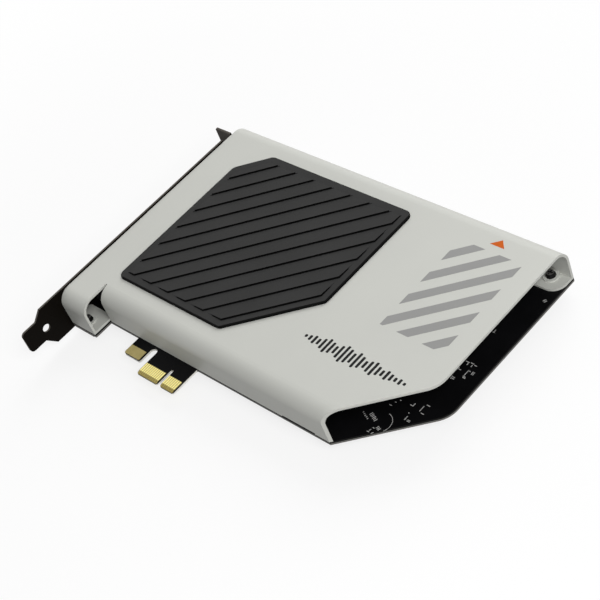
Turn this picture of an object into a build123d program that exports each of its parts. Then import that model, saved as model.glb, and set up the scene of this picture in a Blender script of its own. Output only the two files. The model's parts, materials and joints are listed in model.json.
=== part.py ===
from build123d import *
import os

# Sound card for one expansion slot: a circuit board under a folded sheet cover with a slatted
# panel, held on a slot bracket that carries five round audio sockets.
# X runs from the bracket to the free end, Y from the edge contacts to the back edge, and Z out of
# the component side. The origin is under the middle of the overall box, at its lowest point.

os.makedirs("parts", exist_ok=True)

# Board sizes
card_length = 163.3         # bracket's inner face to the free end
card_height = 112.1         # contact tips to the back edge
board_thick = 1.57
front_setback = 13.0        # contact tips to the front edge
strip_setback = 4.8         # contact tips to the front edge of the strip beside the bracket
strip_width = 14.4          # bracket's inner face to the strip's free side
bracket_gap = 0.2           # bracket's inner face to the board and the cover
corner_cut = 29.35          # leg of the 45 degree cut at the free end
corner_round = 10.0         # where that cut meets the free end

# Edge connector sizes
key_offset = 57.15          # bracket's inner face to the middle of the key slot
key_width = 1.9
key_depth = 8.25
contact_pitch = 1.0
contact_width = 0.7
contact_length = 5.5
contact_thick = 0.05
left_contact_count = 11
right_contact_count = 7
key_to_contact = 1.5        # middle of the key slot to the nearest contact's middle
contact_margin = 0.65       # last contact's middle to the tongue's side
bevel_length = 1.5
bevel_depth = 0.45
tip_cut = 0.5               # corners of the tongue and of the guide tab
guide_width = 8.7           # plated guide tab beside the tongue
guide_gap = 3.85            # slot between the guide tab and the tongue
guide_setback = 4.65        # contact tips to the guide tab's tip
guide_plating = 4.35        # length of the plated area
plating_margin = 0.15
slot_shy = 0.7              # slot's round end to the board's front edge

# Slot bracket sizes
bracket_sheet = 0.86
bracket_width = 18.42
bracket_height = 120.02     # foot's end to the flange's outer face
foot_drop = 15.5            # contact tips to the foot's end
foot_width = 10.19
foot_offset = 0.55          # foot's centre line above the bracket's own
foot_round = 1.8
foot_hole = 3.4
foot_hole_place = 10.1      # foot's end to the hole, which is on the bracket's centre line
shoulder_drop = 4.2         # contact tips to the bracket's shoulders
foot_length = 7.4           # straight part of the foot
flange_depth = 11.43        # bracket's inner face to the flange's end
flange_step = 2.5           # flange's end set back on the component side
flange_step_place = 8.5     # bracket's solder-side edge to the set back
flange_ear = 3.17           # flange's reach past the bracket's solder-side edge
flange_round = 0.8
fold_round = 1.3            # outside of the fold at the flange
ear_relief = 0.3            # fold to the ear
plate_relief_length = 5.2   # cut in the plate's component-side edge under the flange
plate_relief_depth = 2.0
notch_width = 4.42
notch_depth = 5.4
notch_place = 6.35          # bracket's inner face to the notch's centre line
board_tab_length = 13.5     # tabs folded in under the board
board_tab_width = 7.0
board_tab_cut = 1.5
rear_tab_spacing = 6.0      # last socket's side to the rear tab

# Audio socket sizes
socket_count = 5
socket_pitch = 14.0
socket_width = 11.0
socket_depth = 13.0
socket_height = 12.0
socket_axis = 6.2           # board to the middle of the bore
socket_edge = 0.5
socket_spacing = 3.5        # strip tab to the first socket
seat_gap = 0.1              # bracket's inner face to the socket's shoulder
nose_diameter = 7.8
nose_reach = 1.4            # nose past the bracket's outer face
nose_clearance = 0.2        # round the nose in the bracket's hole
bore_diameter = 3.6
bore_depth = 14.5           # in the housing
sleeve_diameter = 6.8       # metal ring on the nose
sleeve_length = 0.6
terminal_width = 1.2
terminal_thick = 0.5
terminal_height = 7.0       # above the board
terminal_spread = 3.6
lead_run_out = 1.0          # leads past the board's solder side
lead_clearance = 0.15

# Cover sizes
cover_sheet = 1.0
cover_headroom = 2.3        # sockets to the underside of the cover
cover_bend = 6.0            # outside of the long bends
slit_width = 1.0            # between the strip and the front wall
tab_width = 16.4            # tabs folded in on the board
tab_reach = 9.2
strip_tab_reach = 10.2
tab_round = 5.5
strip_tab_round = 1.5
tab_fold = 0.7              # relief along the outside of a tab's fold
front_tab_place = 6.8       # cut corner to the front tab
left_tab_place = 25.0       # bracket's inner face to the rear left tab
screw_inset = 3.6           # wall's outer face to a cover screw's axis
screw_shy = 6.9             # free end to the rear right screw's axis
boss_diameter = 6.0
boss_height = 0.6

# Screw and nut sizes
screw_diameter = 2.4
screw_clearance = 0.2       # round the shank in sheet and board
thread_clearance = 0.05     # round the shank in what it is threaded into
head_diameter = 3.9
head_height = 1.6
head_draft = 17.0           # slope of the head's side in degrees
recess_length = 2.2
recess_width = 0.6
recess_depth = 0.8
nut_width = 5.0
nut_height = 1.6
screw_run_out = 0.3         # shank past the nut

# Slatted panel sizes
panel_left = 16.75          # bracket's inner face to the panel
panel_front = 23.9          # contact tips to the panel
panel_length = 85.8
panel_width = 77.3
panel_front_cut = 28.35     # leg of the 45 degree cut at the front right
panel_back_cut = 11.85      # leg of the 45 degree cut at the back left
panel_round = 3.0
panel_thick = 1.0
panel_edge = 0.2
slat_margin = 3.4           # plain border round the slats
slat_pitch = 7.0
slat_count = 12
slat_rise = 0.6             # slat's high edge above the panel
slat_run = 5.4              # slat's width from high edge to nothing
post_width = 3.0            # square posts through the cover
post_clearance = 0.1
post_inset = 7.0            # panel's sides to the posts
post_head_width = 4.6
post_head_height = 0.8

# Chip and lead sizes
lead_thick = 0.15
lead_run = 0.7              # chip's side to the lead's foot
lead_foot = 0.5
chip_standoff = 0.1
chip_edge = 0.15
first_corner_cut = 0.6      # marks the corner of the first lead
processor_size = 10.0
processor_height = 1.4
processor_lead_count = 11
processor_pitch = 0.8
converter_size = 7.0
converter_height = 1.2
converter_lead_count = 8
converter_pitch = 0.8
fine_lead_width = 0.35
amplifier_width = 3.9
amplifier_length = 4.9
amplifier_height = 1.6
amplifier_lead_count = 4
amplifier_pitch = 1.27
coarse_lead_width = 0.45
relay_width = 5.8
relay_length = 9.2
relay_height = 5.4
relay_lead_count = 4
relay_pitch = 2.2

# Sizes of the other board parts
can_diameter = 6.3
can_height = 6.8
can_edge = 0.5
can_base = 6.7
can_base_height = 0.9
can_base_cut = 1.6
coil_size = 7.2
coil_height = 3.6
coil_cut = 1.4
coil_edge = 0.4
clock_length = 5.0
clock_width = 3.2
clock_height = 1.1
clock_rim = 0.35
clock_step = 0.3
regulator_width = 6.5
regulator_depth = 6.1
regulator_height = 2.3
regulator_edge = 0.3
regulator_tab_depth = 3.0
regulator_tab_width = 5.4
regulator_tab_thick = 0.6
chip_part_length = 1.6
chip_part_width = 0.8
chip_part_height = 0.5
chip_part_pitch = 2.4
chip_part_column_count = 4
chip_part_row_count = 6

# Places of the board parts, from the bracket's inner face and from the first socket's middle
analogue_column = 21.5      # amplifiers and relays, in line with the sockets
can_column = 34.0
can_column_pitch = 10.0
can_row_pitch = 18.0
can_column_count = 2
can_row_count = 3
converter_place = (60.0, 34.0)
processor_place = (84.0, 28.0)
clock_column = 60.0
clock_row = 14.0
clock_row_pitch = 7.0
clock_count = 2
regulator_place = (62.0, 56.0)
coil_column = 80.0
coil_row = 56.0
coil_pitch = 12.0
coil_count = 2
chip_part_spacing = 10.75   # chip parts to the cover's front tab
chip_part_row = 4.0

# Reference lines of the whole card, worked out from the sizes above
bracket_x = (flange_depth - card_length) / 2
tip_y = (foot_drop - card_height) / 2
bracket_under = flange_ear
board_under = bracket_under + bracket_sheet
board_top = board_under + board_thick
card_left = bracket_x + bracket_gap
card_right = bracket_x + card_length
front_y = tip_y + front_setback
strip_y = tip_y + strip_setback
back_y = tip_y + card_height
strip_x = bracket_x + strip_width
cut_x = card_right - corner_cut
cut_y = front_y + corner_cut
key_x = bracket_x + key_offset
left_contacts = [
    key_x - key_to_contact - i * contact_pitch for i in range(left_contact_count)
]
right_contacts = [
    key_x + key_to_contact + i * contact_pitch for i in range(right_contact_count)
]
tongue_left = left_contacts[-1] - contact_margin
tongue_right = right_contacts[-1] + contact_margin
guide_right = tongue_left - guide_gap
guide_left = guide_right - guide_width
guide_tip = tip_y + guide_setback
flange_y = tip_y - foot_drop + bracket_height
cover_under = board_top + socket_height + cover_headroom
cover_top = cover_under + cover_sheet
slit_y = front_y + cover_bend
first_socket_y = strip_y + strip_tab_reach + socket_spacing + socket_width / 2
socket_rows = [first_socket_y + i * socket_pitch for i in range(socket_count)]
socket_z = board_top + socket_axis
socket_front = bracket_x + seat_gap
socket_rear = socket_front + socket_depth
nose_x = bracket_x - bracket_sheet - nose_reach
screw_hole = screw_diameter + 2 * screw_clearance
thread_hole = screw_diameter + 2 * thread_clearance
rear_tab_y = socket_rows[-1] + socket_width / 2 + rear_tab_spacing + board_tab_width / 2
screw_seat = board_top + cover_sheet + boss_height
head_radius = head_diameter / 2

# Cover tabs, as left, right, lower and upper limits, and the screw through each of them
strip_tab = (card_left, strip_x, strip_y, strip_y + strip_tab_reach)
front_tab_right = cut_x - front_tab_place
front_tab = (front_tab_right - tab_width, front_tab_right, front_y, front_y + tab_reach)
left_tab_x = bracket_x + left_tab_place
left_tab = (left_tab_x, left_tab_x + tab_width, back_y - tab_reach, back_y)
right_tab = (card_right - tab_width, card_right, back_y - tab_reach, back_y)
strip_screw = ((card_left + strip_x) / 2, strip_y + screw_inset)
front_screw = (front_tab_right - tab_width / 2, front_y + screw_inset)
left_screw = (left_tab_x + tab_width / 2, back_y - screw_inset)
right_screw = (card_right - screw_shy, back_y - screw_inset)
nut_screws = [front_screw, left_screw, right_screw]
cover_screw_places = [strip_screw] + nut_screws
bracket_screw_place = (strip_screw[0], rear_tab_y)
terminal_x = socket_rear + terminal_thick / 2
terminal_places = [
    (terminal_x, y + side * terminal_spread) for y in socket_rows for side in (-1, 0, 1)
]

# Panel lines
panel_x = bracket_x + panel_left
panel_y = tip_y + panel_front
panel_right = panel_x + panel_length
panel_back = panel_y + panel_width
post_places = [
    (panel_x + post_inset, panel_y + post_inset),
    (panel_x + post_inset, panel_back - panel_back_cut - post_inset),
    (panel_x + panel_back_cut + post_inset, panel_back - post_inset),
    (panel_right - post_inset, panel_back - post_inset),
    (panel_right - post_inset, panel_y + panel_front_cut + post_inset),
    (panel_right - panel_front_cut - post_inset, panel_y + post_inset),
]


def span(x0, x1, y0, y1, mode=Mode.ADD):
    """Draw a rectangle from its limits in the sketch that is open."""
    with Locations(((x0 + x1) / 2, (y0 + y1) / 2)):
        Rectangle(x1 - x0, y1 - y0, mode=mode)


def keep(builder, name):
    """Label a finished piece and write it under its name."""
    builder.part.label = name
    export_step(builder.part, f"parts/{name}.step")


def on_board(place):
    """Give the point on the component side for a place from the bracket and the first socket."""
    return (bracket_x + place[0], first_socket_y + place[1], board_top)


# Plan of the board and the cover, without the edge connector
with BuildSketch() as outline:
    with BuildLine():
        Polyline(
            (card_left, strip_y),
            (strip_x, strip_y),
            (strip_x, front_y),
            (cut_x, front_y),
            (card_right, cut_y),
            (card_right, back_y),
            (card_left, back_y),
            close=True,
        )
    make_face()
    fillet(outline.vertices().sort_by_distance((card_right, cut_y))[0], corner_round)

# Circuit board with its contact tongue, key slot and guide tab
with BuildPart() as circuit_board:
    with BuildSketch(Plane.XY.offset(board_under)):
        add(outline.sketch)
        span(guide_left, tongue_right, tip_y, front_y)
        span(guide_left, guide_right, tip_y, guide_tip, Mode.SUBTRACT)
        slot_end = front_y - slot_shy - guide_gap / 2
        span(guide_right, tongue_left, tip_y, slot_end, Mode.SUBTRACT)
        key_end = tip_y + key_depth - key_width / 2
        span(key_x - key_width / 2, key_x + key_width / 2, tip_y, key_end, Mode.SUBTRACT)
        with Locations(((guide_right + tongue_left) / 2, slot_end)):
            Circle(guide_gap / 2, mode=Mode.SUBTRACT)
        with Locations((key_x, key_end)):
            Circle(key_width / 2, mode=Mode.SUBTRACT)
    extrude(amount=board_thick)
    chamfer(circuit_board.edges().filter_by(Axis.Z).group_by(Axis.Y)[0], tip_cut)
    chamfer(
        circuit_board.edges().filter_by(Axis.Z).filter_by_position(
            Axis.Y, guide_tip - tip_cut / 4, guide_tip + tip_cut / 4
        ).filter_by_position(Axis.X, guide_left - tip_cut, guide_right + tip_cut),
        tip_cut,
    )
    with BuildSketch(Plane.YZ.offset(tongue_left)):
        for face_z, inwards in ((board_top, -1), (board_under, 1)):
            with BuildLine():
                Polyline(
                    (tip_y, face_z),
                    (tip_y + bevel_length, face_z),
                    (tip_y, face_z + inwards * bevel_depth),
                    close=True,
                )
            make_face()
    extrude(amount=tongue_right - tongue_left, mode=Mode.SUBTRACT)
    with Locations(*[(x, y, board_top) for x, y in cover_screw_places + [bracket_screw_place]]):
        Hole(screw_hole / 2)
    with BuildSketch(Plane.XY.offset(board_under)):
        with Locations(*terminal_places):
            Rectangle(terminal_thick + 2 * lead_clearance, terminal_width + 2 * lead_clearance)
    extrude(amount=board_thick, mode=Mode.SUBTRACT)
keep(circuit_board, "circuit_board")

# Gold contacts on both faces of the tongue, each running down the bevel
for side, face_z, outwards in (("component", board_top, 1), ("solder", board_under, -1)):
    skin = outwards * contact_thick
    bevel_z = face_z - outwards * bevel_depth
    bevel_y = tip_y + bevel_length
    contact_end = tip_y + contact_length
    tip_start = tip_y + bevel_length * contact_thick / bevel_depth
    tip_z = bevel_z + outwards * contact_thick
    with BuildPart() as contact:
        with BuildSketch(Plane.YZ):
            with BuildLine():
                Polyline(
                    (contact_end, face_z),
                    (contact_end, face_z + skin),
                    (bevel_y, face_z + skin),
                    (tip_start, tip_z + skin),
                    (tip_start, tip_z),
                    (bevel_y, face_z),
                    close=True,
                )
            make_face()
        extrude(amount=contact_width / 2, both=True)
    with BuildPart() as edge_contacts:
        with Locations(*[(x, 0, 0) for x in left_contacts + right_contacts]):
            add(contact.part)
    keep(edge_contacts, f"edge_contacts_{side}_side")

# Plating on both faces of the guide tab
with BuildPart() as guide_tab_plating:
    for face_z in (board_top, board_under - contact_thick):
        with BuildSketch(Plane.XY.offset(face_z)) as plating:
            span(
                guide_left + plating_margin,
                guide_right - plating_margin,
                guide_tip + plating_margin,
                guide_tip + guide_plating,
            )
            chamfer(plating.vertices().group_by(Axis.Y)[0], tip_cut)
        extrude(amount=contact_thick)
keep(guide_tab_plating, "guide_tab_plating")

# Slot bracket: plate with tapered foot, folded flange with a screw notch, and two board tabs
bracket_top = bracket_under + bracket_width
foot_end = tip_y - foot_drop
bracket_mid = bracket_under + bracket_width / 2
foot_mid = bracket_mid + foot_offset
foot_low = foot_mid - foot_width / 2
foot_high = foot_mid + foot_width / 2
shoulder_y = tip_y - shoulder_drop
neck_y = foot_end + foot_length
flange_end = bracket_x - flange_depth
flange_under = flange_y - bracket_sheet
relief_y = flange_y - plate_relief_length
relief_z = bracket_top - plate_relief_depth
step_x = flange_end + flange_step
step_z = bracket_under + flange_step_place
ear_low = bracket_under - flange_ear
notch_x = bracket_x - notch_place
notch_end = ear_low + notch_depth - notch_width / 2
with BuildPart() as slot_bracket:
    with BuildSketch(Plane.XY.offset(bracket_under)):
        with BuildLine():
            FilletPolyline(
                (bracket_x, foot_end),
                (bracket_x, flange_y),
                (flange_end, flange_y),
                radius=fold_round,
            )
            offset(amount=bracket_sheet, side=Side.LEFT)
        make_face()
    extrude(amount=bracket_width)
    with BuildSketch(Plane.YZ.offset(flange_end)) as plate:
        with BuildLine():
            Polyline(
                (flange_y, bracket_under),
                (flange_y, bracket_top),
                (flange_under, bracket_top),
                (flange_under, relief_z),
                (relief_y, relief_z),
                (relief_y, bracket_top),
                (shoulder_y, bracket_top),
                (neck_y, foot_high),
                (foot_end, foot_high),
                (foot_end, foot_low),
                (neck_y, foot_low),
                (shoulder_y, bracket_under),
                close=True,
            )
        make_face()
        fillet(plate.vertices().group_by(Axis.X)[0], foot_round)
        with Locations((foot_end + foot_hole_place, bracket_mid)):
            Circle(foot_hole / 2, mode=Mode.SUBTRACT)
        with Locations(*[(y, socket_z) for y in socket_rows]):
            Circle(nose_diameter / 2 + nose_clearance, mode=Mode.SUBTRACT)
    extrude(amount=flange_depth, mode=Mode.INTERSECT)
    with BuildSketch(Plane.XZ.offset(-flange_y)):
        span(flange_end, bracket_x - fold_round - ear_relief, ear_low, bracket_under)
        span(bracket_x - fold_round, bracket_x, relief_z, bracket_top)
    extrude(amount=bracket_sheet)
    with BuildSketch(Plane.XZ.offset(-flange_y)):
        with BuildLine():
            Polyline(
                (flange_end, step_z),
                (step_x, step_z + flange_step),
                (step_x, bracket_top),
                (flange_end, bracket_top),
                close=True,
            )
        make_face()
        span(notch_x - notch_width / 2, notch_x + notch_width / 2, ear_low, notch_end)
        with Locations((notch_x, notch_end)):
            Circle(notch_width / 2)
    extrude(amount=bracket_sheet, mode=Mode.SUBTRACT)
    for corner in ((flange_end, flange_y, ear_low), (step_x, flange_y, bracket_top)):
        corner_edges = slot_bracket.edges().filter_by(Axis.Y).sort_by_distance(corner)
        fillet(corner_edges[0], flange_round)
    with BuildSketch(Plane.XY.offset(bracket_under)) as board_tabs:
        for tab_y in (strip_screw[1], rear_tab_y):
            span(
                bracket_x - bracket_sheet,
                bracket_x + board_tab_length,
                tab_y - board_tab_width / 2,
                tab_y + board_tab_width / 2,
            )
        chamfer(board_tabs.vertices().group_by(Axis.X)[-1], board_tab_cut)
        with Locations(strip_screw, bracket_screw_place):
            Circle(thread_hole / 2, mode=Mode.SUBTRACT)
    extrude(amount=bracket_sheet)
keep(slot_bracket, "slot_bracket")

# Folded cover: one sheet bent down at the front and back, slit beside the strip, with screw tabs
with BuildPart() as cover_shroud:
    with BuildSketch(Plane.YZ.offset(card_left)):
        with BuildLine():
            FilletPolyline(
                (front_y, board_top),
                (front_y, cover_top),
                (back_y, cover_top),
                (back_y, board_top),
                radius=cover_bend,
            )
            offset(amount=cover_sheet, side=Side.RIGHT)
        make_face()
    extrude(amount=card_right - card_left)
    with BuildSketch(Plane.XY.offset(board_top)):
        span(card_left, strip_x + slit_width, strip_y, slit_y)
    extrude(amount=cover_top - board_top, mode=Mode.SUBTRACT)
    with BuildSketch(Plane.YZ.offset(card_left)):
        with BuildLine():
            FilletPolyline(
                (strip_y, board_top),
                (strip_y, cover_top),
                (slit_y, cover_top),
                radius=cover_bend,
            )
            offset(amount=cover_sheet, side=Side.RIGHT)
        make_face()
    extrude(amount=strip_x - card_left)
    with BuildSketch(Plane.XY.offset(board_top)):
        add(outline.sketch)
    extrude(amount=cover_top - board_top, mode=Mode.INTERSECT)
    with BuildSketch(Plane.XY.offset(board_top)) as strip_fold:
        span(*strip_tab)
        fillet(strip_fold.vertices().group_by(Axis.Y)[-1], strip_tab_round)
    extrude(amount=cover_sheet)
    with BuildSketch(Plane.XY.offset(board_top)) as front_fold:
        span(*front_tab)
        fillet(front_fold.vertices().group_by(Axis.Y)[-1], tab_round)
    extrude(amount=cover_sheet)
    with BuildSketch(Plane.XY.offset(board_top)) as back_folds:
        span(*left_tab)
        span(*right_tab)
        fillet(back_folds.vertices().group_by(Axis.Y)[0], tab_round)
    extrude(amount=cover_sheet)
    for tab, wall_y, inwards in ((front_tab, front_y, 1), (left_tab, back_y, -1)):
        with BuildSketch(Plane.YZ.offset(tab[0])):
            with BuildLine():
                Polyline(
                    (wall_y, board_top),
                    (wall_y + inwards * tab_fold, board_top),
                    (wall_y, board_top + tab_fold),
                    close=True,
                )
            make_face()
        extrude(amount=tab_width, mode=Mode.SUBTRACT)
    with BuildSketch(Plane.XY.offset(board_top + cover_sheet)):
        with Locations(*cover_screw_places):
            Circle(boss_diameter / 2)
    extrude(amount=boss_height)
    with BuildSketch(Plane.XY.offset(board_top)):
        with Locations(*cover_screw_places):
            Circle(screw_hole / 2)
    extrude(amount=cover_sheet + boss_height, mode=Mode.SUBTRACT)
    with BuildSketch(Plane.XY.offset(cover_under)):
        with Locations(*post_places):
            Rectangle(post_width + 2 * post_clearance, post_width + 2 * post_clearance)
    extrude(amount=cover_sheet, mode=Mode.SUBTRACT)
keep(cover_shroud, "cover_shroud")

# Plan of the panel: a rectangle with two opposite corners cut at 45 degrees
with BuildSketch() as panel_plan:
    with BuildLine():
        Polyline(
            (panel_x, panel_y),
            (panel_right - panel_front_cut, panel_y),
            (panel_right, panel_y + panel_front_cut),
            (panel_right, panel_back),
            (panel_x + panel_back_cut, panel_back),
            (panel_x, panel_back - panel_back_cut),
            close=True,
        )
    make_face()
    fillet(panel_plan.vertices(), panel_round)

# Bank of slats, each a wedge that rises towards the front right and ends inside the border
panel_top = cover_top + panel_thick
cut_middle = (panel_right - panel_front_cut / 2, panel_y + panel_front_cut / 2, panel_top)
across = Plane(origin=cut_middle, x_dir=(-1, 1, 0), z_dir=(1, 1, 0))
with BuildPart() as slats:
    with BuildSketch(across):
        for i in range(slat_count):
            high_edge = slat_margin + i * slat_pitch
            with BuildLine():
                Polyline(
                    (high_edge, 0),
                    (high_edge, slat_rise),
                    (high_edge + slat_run, 0),
                    close=True,
                )
            make_face()
    extrude(amount=panel_length, both=True)
    with BuildSketch(Plane.XY.offset(panel_top)):
        offset(panel_plan.sketch, amount=-slat_margin)
    extrude(amount=slat_rise, mode=Mode.INTERSECT)

# Slatted panel, staked through the cover by square posts
with BuildPart() as ribbed_panel:
    with BuildSketch(Plane.XY.offset(cover_top)):
        add(panel_plan.sketch)
    extrude(amount=panel_thick)
    chamfer(ribbed_panel.faces().sort_by(Axis.Z)[-1].edges(), panel_edge)
    add(slats.part)
    with BuildSketch(Plane.XY.offset(cover_under)):
        with Locations(*post_places):
            Rectangle(post_width, post_width)
    extrude(amount=cover_sheet)
    with BuildSketch(Plane.XY.offset(cover_under)):
        with Locations(*post_places):
            Rectangle(post_head_width, post_head_width)
    extrude(amount=-post_head_height)
keep(ribbed_panel, "ribbed_panel")

# Cover screws and the screw of the bracket's rear tab: low sloping heads with a cross recess
cover_screw_length = boss_height + cover_sheet + board_thick + nut_height + screw_run_out
bracket_screw_length = board_thick + bracket_sheet + screw_run_out
for name, length, places, seat_z in (
    ("cover_screws", cover_screw_length, cover_screw_places, screw_seat),
    ("bracket_screw", bracket_screw_length, [bracket_screw_place], board_top),
):
    with BuildPart() as screw:
        with BuildSketch():
            Circle(head_radius)
        extrude(amount=head_height, taper=head_draft)
        with BuildSketch():
            Circle(screw_diameter / 2)
        extrude(amount=-length)
        with BuildSketch(Plane.XY.offset(head_height)):
            Rectangle(recess_length, recess_width)
            Rectangle(recess_width, recess_length)
        extrude(amount=-recess_depth, mode=Mode.SUBTRACT)
    with BuildPart() as screw_set:
        with Locations(*[(x, y, seat_z) for x, y in places]):
            add(screw.part)
    keep(screw_set, name)

# Nuts on the solder side under three of the cover screws
with BuildPart() as cover_nuts:
    with BuildSketch(Plane.XY.offset(board_under)):
        with Locations(*nut_screws):
            RegularPolygon(nut_width / 2, 6, major_radius=False)
            Circle(thread_hole / 2, mode=Mode.SUBTRACT)
    extrude(amount=-nut_height)
keep(cover_nuts, "cover_nuts")

# Audio sockets: moulded housing with a nose through the bracket, metal ring and terminals
for number, socket_y in enumerate(socket_rows, 1):
    with BuildPart() as housing:
        with BuildSketch(Plane.XY.offset(board_top)):
            span(
                socket_front,
                socket_rear,
                socket_y - socket_width / 2,
                socket_y + socket_width / 2,
            )
        extrude(amount=socket_height)
        chamfer(housing.edges().filter_by(Axis.X).group_by(Axis.Z)[-1], socket_edge)
        with BuildSketch(Plane.YZ.offset(nose_x)):
            with Locations((socket_y, socket_z)):
                Circle(nose_diameter / 2)
        extrude(amount=socket_front - nose_x)
        with BuildSketch(Plane.YZ.offset(nose_x)):
            with Locations((socket_y, socket_z)):
                Circle(bore_diameter / 2)
        extrude(amount=bore_depth, mode=Mode.SUBTRACT)
    keep(housing, f"socket_{number}_housing")

    with BuildPart() as sleeve:
        with BuildSketch(Plane.YZ.offset(nose_x)):
            with Locations((socket_y, socket_z)):
                Circle(sleeve_diameter / 2)
                Circle(bore_diameter / 2, mode=Mode.SUBTRACT)
        extrude(amount=-sleeve_length)
    keep(sleeve, f"socket_{number}_sleeve")

    terminal_low = board_under - lead_run_out
    with BuildPart() as terminals:
        with BuildSketch(Plane.XY.offset(terminal_low)):
            with Locations(*[(terminal_x, socket_y + s * terminal_spread) for s in (-1, 0, 1)]):
                Rectangle(terminal_thick, terminal_width)
        extrude(amount=board_top + terminal_height - terminal_low)
    keep(terminals, f"socket_{number}_terminals")


def make_chip(name, place, across_leads, along_leads, height, lead_sides, lead_count, pitch, width):
    """Make a moulded chip and its bent leads on two or four sides, lead rows running along Y."""
    x, y, z = on_board(place)
    first_corner = (x - across_leads / 2, y - along_leads / 2)
    with BuildPart() as body:
        with BuildSketch(Plane.XY.offset(z + chip_standoff)) as body_plan:
            with Locations((x, y)):
                Rectangle(across_leads, along_leads)
            chamfer(body_plan.vertices().sort_by_distance(first_corner)[0], first_corner_cut)
        extrude(amount=height)
        chamfer(body.faces().sort_by(Axis.Z)[-1].edges(), chip_edge)
    keep(body, name)

    lead_z = chip_standoff + height / 2
    with BuildPart() as lead:
        with BuildSketch(Plane.XZ):
            with BuildLine():
                Polyline(
                    (0, lead_z),
                    (lead_run, lead_thick),
                    (lead_run + lead_foot, lead_thick),
                    (lead_run + lead_foot, 0),
                    (lead_run - lead_thick, 0),
                    (0, lead_z - lead_thick),
                    close=True,
                )
            make_face()
        extrude(amount=width / 2, both=True)
    row = [(0, (i - (lead_count - 1) / 2) * pitch, 0) for i in range(lead_count)]
    with BuildPart() as leads:
        with Locations((x, y, z)):
            with PolarLocations(across_leads / 2, lead_sides):
                with Locations(*row):
                    add(lead.part)
    keep(leads, f"{name}_leads")


make_chip(
    "audio_processor",
    processor_place,
    processor_size,
    processor_size,
    processor_height,
    4,
    processor_lead_count,
    processor_pitch,
    fine_lead_width,
)
make_chip(
    "audio_converter",
    converter_place,
    converter_size,
    converter_size,
    converter_height,
    4,
    converter_lead_count,
    converter_pitch,
    fine_lead_width,
)
for i in range(socket_count):
    place = (analogue_column, i * socket_pitch)
    if i % 2 == 0:
        make_chip(
            f"amplifier_{i // 2 + 1}",
            place,
            amplifier_width,
            amplifier_length,
            amplifier_height,
            2,
            amplifier_lead_count,
            amplifier_pitch,
            coarse_lead_width,
        )
    else:
        make_chip(
            f"output_relay_{i // 2 + 1}",
            place,
            relay_width,
            relay_length,
            relay_height,
            2,
            relay_lead_count,
            relay_pitch,
            coarse_lead_width,
        )

# Electrolytic capacitors in rows: moulded base with two cut corners, and a can
can_places = [
    (can_column + i * can_column_pitch, j * can_row_pitch)
    for j in range(can_row_count)
    for i in range(can_column_count)
]
for number, place in enumerate(can_places, 1):
    x, y, z = on_board(place)
    with BuildPart() as base:
        with BuildSketch(Plane.XY.offset(z)) as base_plan:
            with Locations((x, y)):
                Rectangle(can_base, can_base)
            chamfer(base_plan.vertices().group_by(Axis.Y)[-1], can_base_cut)
        extrude(amount=can_base_height)
    keep(base, f"capacitor_{number}_base")

    with BuildPart() as can:
        with BuildSketch(Plane.XY.offset(z + can_base_height)):
            with Locations((x, y)):
                Circle(can_diameter / 2)
        extrude(amount=can_height)
        chamfer(can.edges().group_by(Axis.Z)[-1], can_edge)
    keep(can, f"capacitor_{number}_can")

# Shielded coils of the supply: square moulded block with cut corners
for i in range(coil_count):
    x, y, z = on_board((coil_column + i * coil_pitch, coil_row))
    with BuildPart() as coil:
        with BuildSketch(Plane.XY.offset(z)) as coil_plan:
            with Locations((x, y)):
                Rectangle(coil_size, coil_size)
            chamfer(coil_plan.vertices(), coil_cut)
        extrude(amount=coil_height)
        chamfer(coil.faces().sort_by(Axis.Z)[-1].edges(), coil_edge)
    keep(coil, f"supply_coil_{i + 1}")

# Clock oscillators: ceramic base with a raised metal lid
for i in range(clock_count):
    x, y, z = on_board((clock_column, clock_row - i * clock_row_pitch))
    with BuildPart() as clock:
        with BuildSketch(Plane.XY.offset(z)):
            with Locations((x, y)):
                Rectangle(clock_length, clock_width)
        extrude(amount=clock_height - clock_step)
        with BuildSketch(Plane.XY.offset(z + clock_height - clock_step)) as lid_plan:
            with Locations((x, y)):
                Rectangle(clock_length - 2 * clock_rim, clock_width - 2 * clock_rim)
            chamfer(lid_plan.vertices(), clock_rim)
        extrude(amount=clock_step)
    keep(clock, f"clock_oscillator_{i + 1}")

# Voltage regulator: moulded body on the end of a flat cooling tab
x, y, z = on_board(regulator_place)
tab_end = y + regulator_depth / 2
with BuildPart() as voltage_regulator:
    with BuildSketch(Plane.XY.offset(z)):
        with Locations((x, y)):
            Rectangle(regulator_width, regulator_depth)
    extrude(amount=regulator_height)
    chamfer(voltage_regulator.faces().sort_by(Axis.Z)[-1].edges(), regulator_edge)
keep(voltage_regulator, "voltage_regulator")
with BuildPart() as regulator_tab:
    with BuildSketch(Plane.XY.offset(z)) as tab_plan:
        span(
            x - regulator_tab_width / 2,
            x + regulator_tab_width / 2,
            tab_end,
            tab_end + regulator_tab_depth,
        )
        chamfer(tab_plan.vertices().group_by(Axis.Y)[-1], regulator_tab_thick)
    extrude(amount=regulator_tab_thick)
keep(regulator_tab, "regulator_tab")

# Small resistors and capacitors in a grid beside the cover's front tab
grid_width = (chip_part_column_count - 1) * chip_part_pitch + chip_part_width
grid_x = front_tab[0] - chip_part_spacing - grid_width / 2
with BuildPart() as chip_parts:
    with Locations((grid_x, first_socket_y + chip_part_row, board_top)):
        with GridLocations(
            chip_part_pitch,
            chip_part_pitch,
            chip_part_column_count,
            chip_part_row_count,
        ):
            Box(
                chip_part_width,
                chip_part_length,
                chip_part_height,
                align=(Align.CENTER, Align.CENTER, Align.MIN),
            )
keep(chip_parts, "chip_parts")
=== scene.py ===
"""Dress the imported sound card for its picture.

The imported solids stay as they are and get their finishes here. What is printed, soldered or etched on
them is modelled on top of them, and a small studio gives the floor, the light and the camera.
"""

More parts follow.
